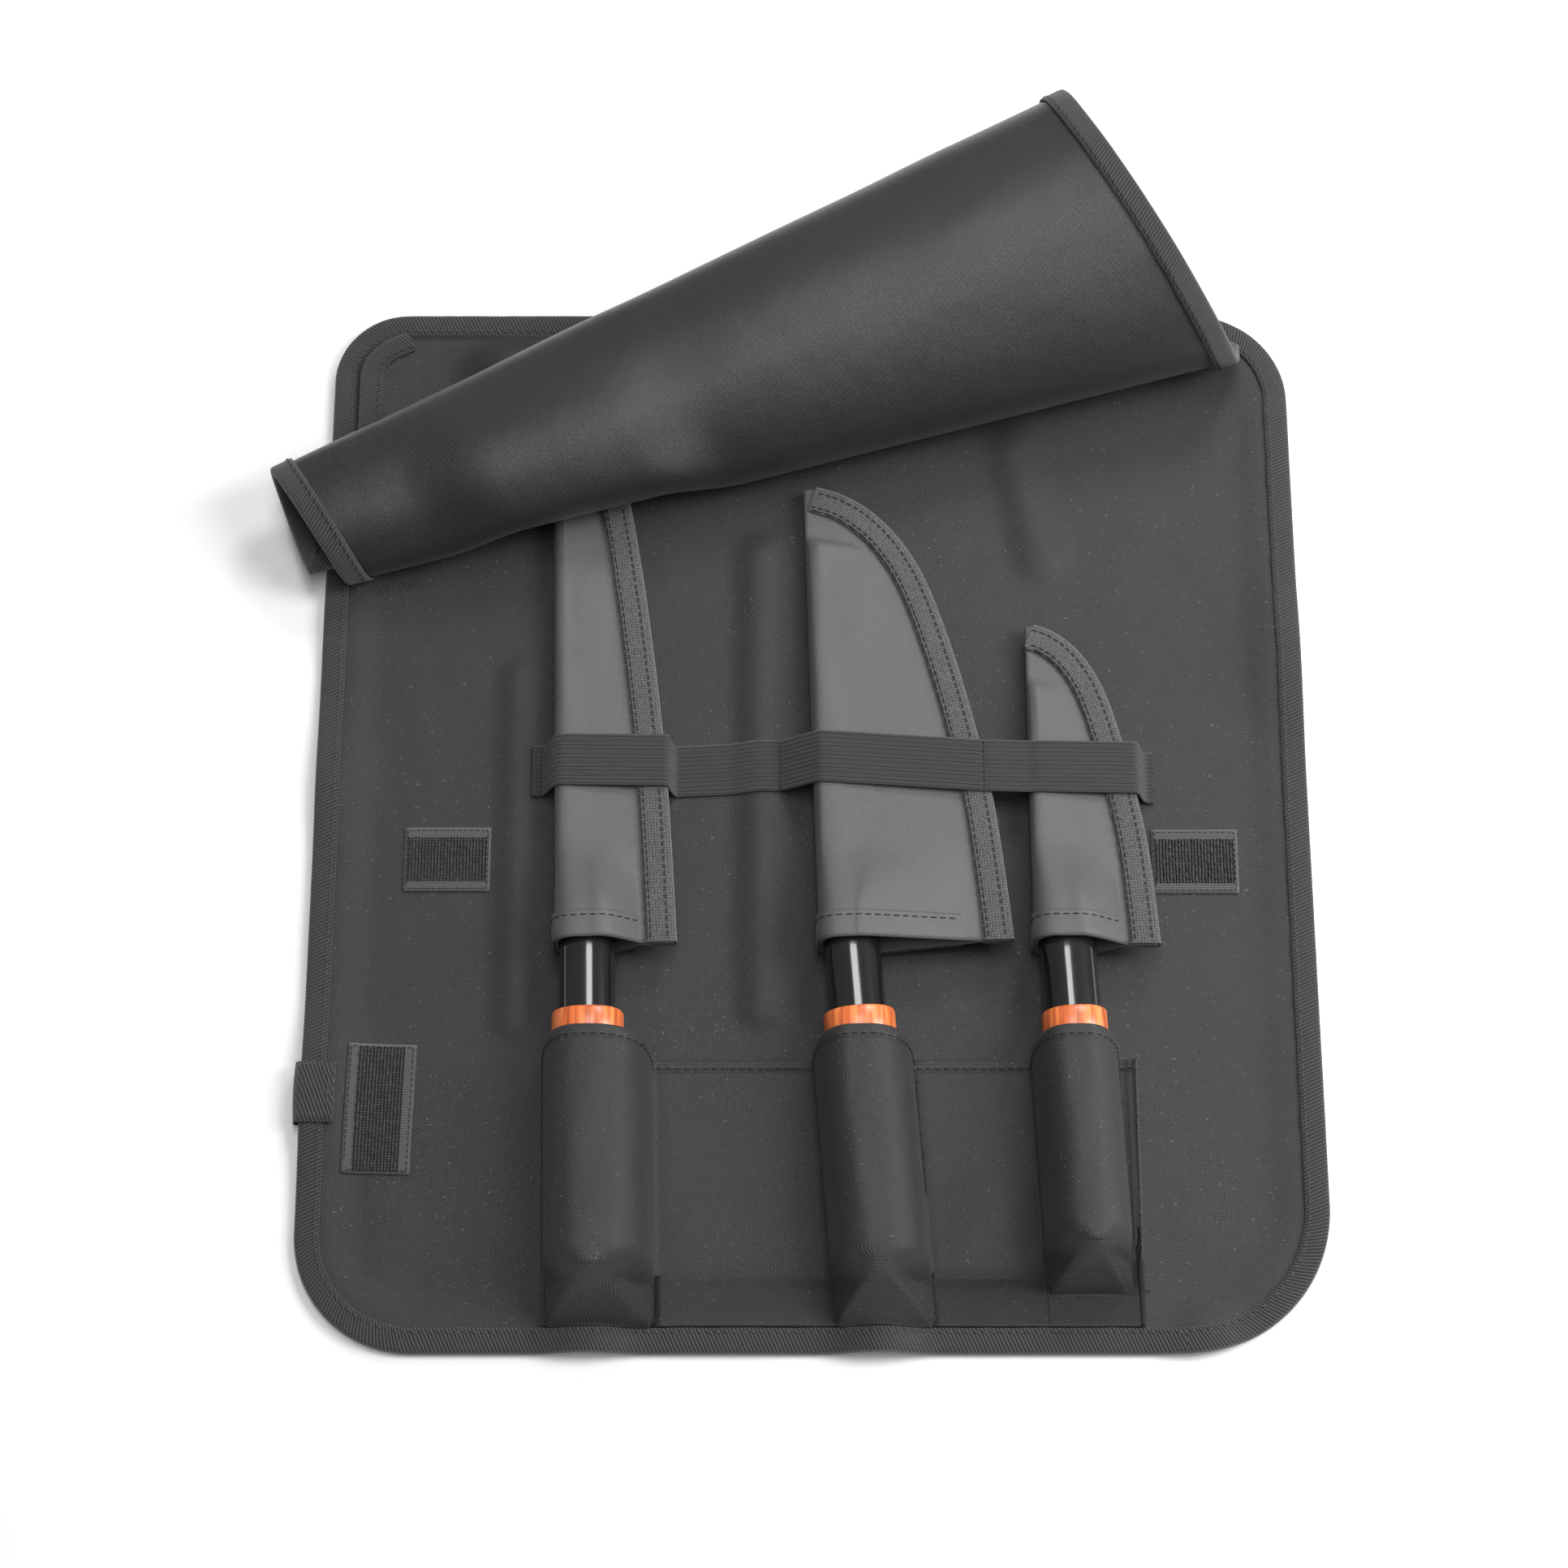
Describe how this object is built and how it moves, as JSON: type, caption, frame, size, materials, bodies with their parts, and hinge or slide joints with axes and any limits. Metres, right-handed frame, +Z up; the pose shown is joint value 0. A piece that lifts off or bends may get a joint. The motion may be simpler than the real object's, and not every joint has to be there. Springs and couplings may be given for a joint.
{
  "type": "chef knife roll",
  "caption": "Cloth knife roll laid open with its top flap rolled back, holding sheathed kitchen knives under an elastic band and in handle pockets.",
  "frame": {"origin": "middle of the open panel's underside, on the table", "axes": "+Z up off the table, +Y up the panel towards the flap and the knives' tips, +X to the right across the knives"},
  "size_m": [0.3904, 0.4768, 0.0751],
  "materials": {
    "canvas": "charcoal coarse woven polyester canvas",
    "binding_tape": "black ribbed folded tape",
    "sheath_cloth": "grey smooth coated cloth with a soft sheen",
    "sheath_tape": "grey felted tape",
    "elastic": "black ribbed woven elastic",
    "hook_tape": "dark grey woven backing tape",
    "hook_pile": "black hook pile in rows",
    "steel": "ground blade steel",
    "black_horn": "polished black horn or resin",
    "wood": "oiled orange-red wood"
  },
  "bodies": {
    "root": {"base_panel": "canvas", "edge_binding": "binding_tape", "top_flap": "canvas", "flap_binding": "binding_tape", "elastic_band": "elastic", "pocket_strip": "canvas", "side_tab": "binding_tape", "left_patch_tape": "hook_tape", "left_patch_pile": "hook_pile", "right_patch_tape": "hook_tape", "right_patch_pile": "hook_pile", "lower_patch_tape": "hook_tape", "lower_patch_pile": "hook_pile", "slicer_sheath": "sheath_cloth", "slicer_sheath_binding": "sheath_tape", "slicer_mouth_band": "sheath_tape", "slicer_blade": "steel", "slicer_handle": "black_horn", "slicer_collar": "wood", "deba_sheath": "sheath_cloth", "deba_sheath_binding": "sheath_tape", "deba_mouth_band": "sheath_tape", "deba_blade": "steel", "deba_handle": "black_horn", "deba_collar": "wood", "petty_sheath": "sheath_cloth", "petty_sheath_binding": "sheath_tape", "petty_mouth_band": "sheath_tape", "petty_blade": "steel", "petty_handle": "black_horn", "petty_collar": "wood"}
  },
  "joints": []
}
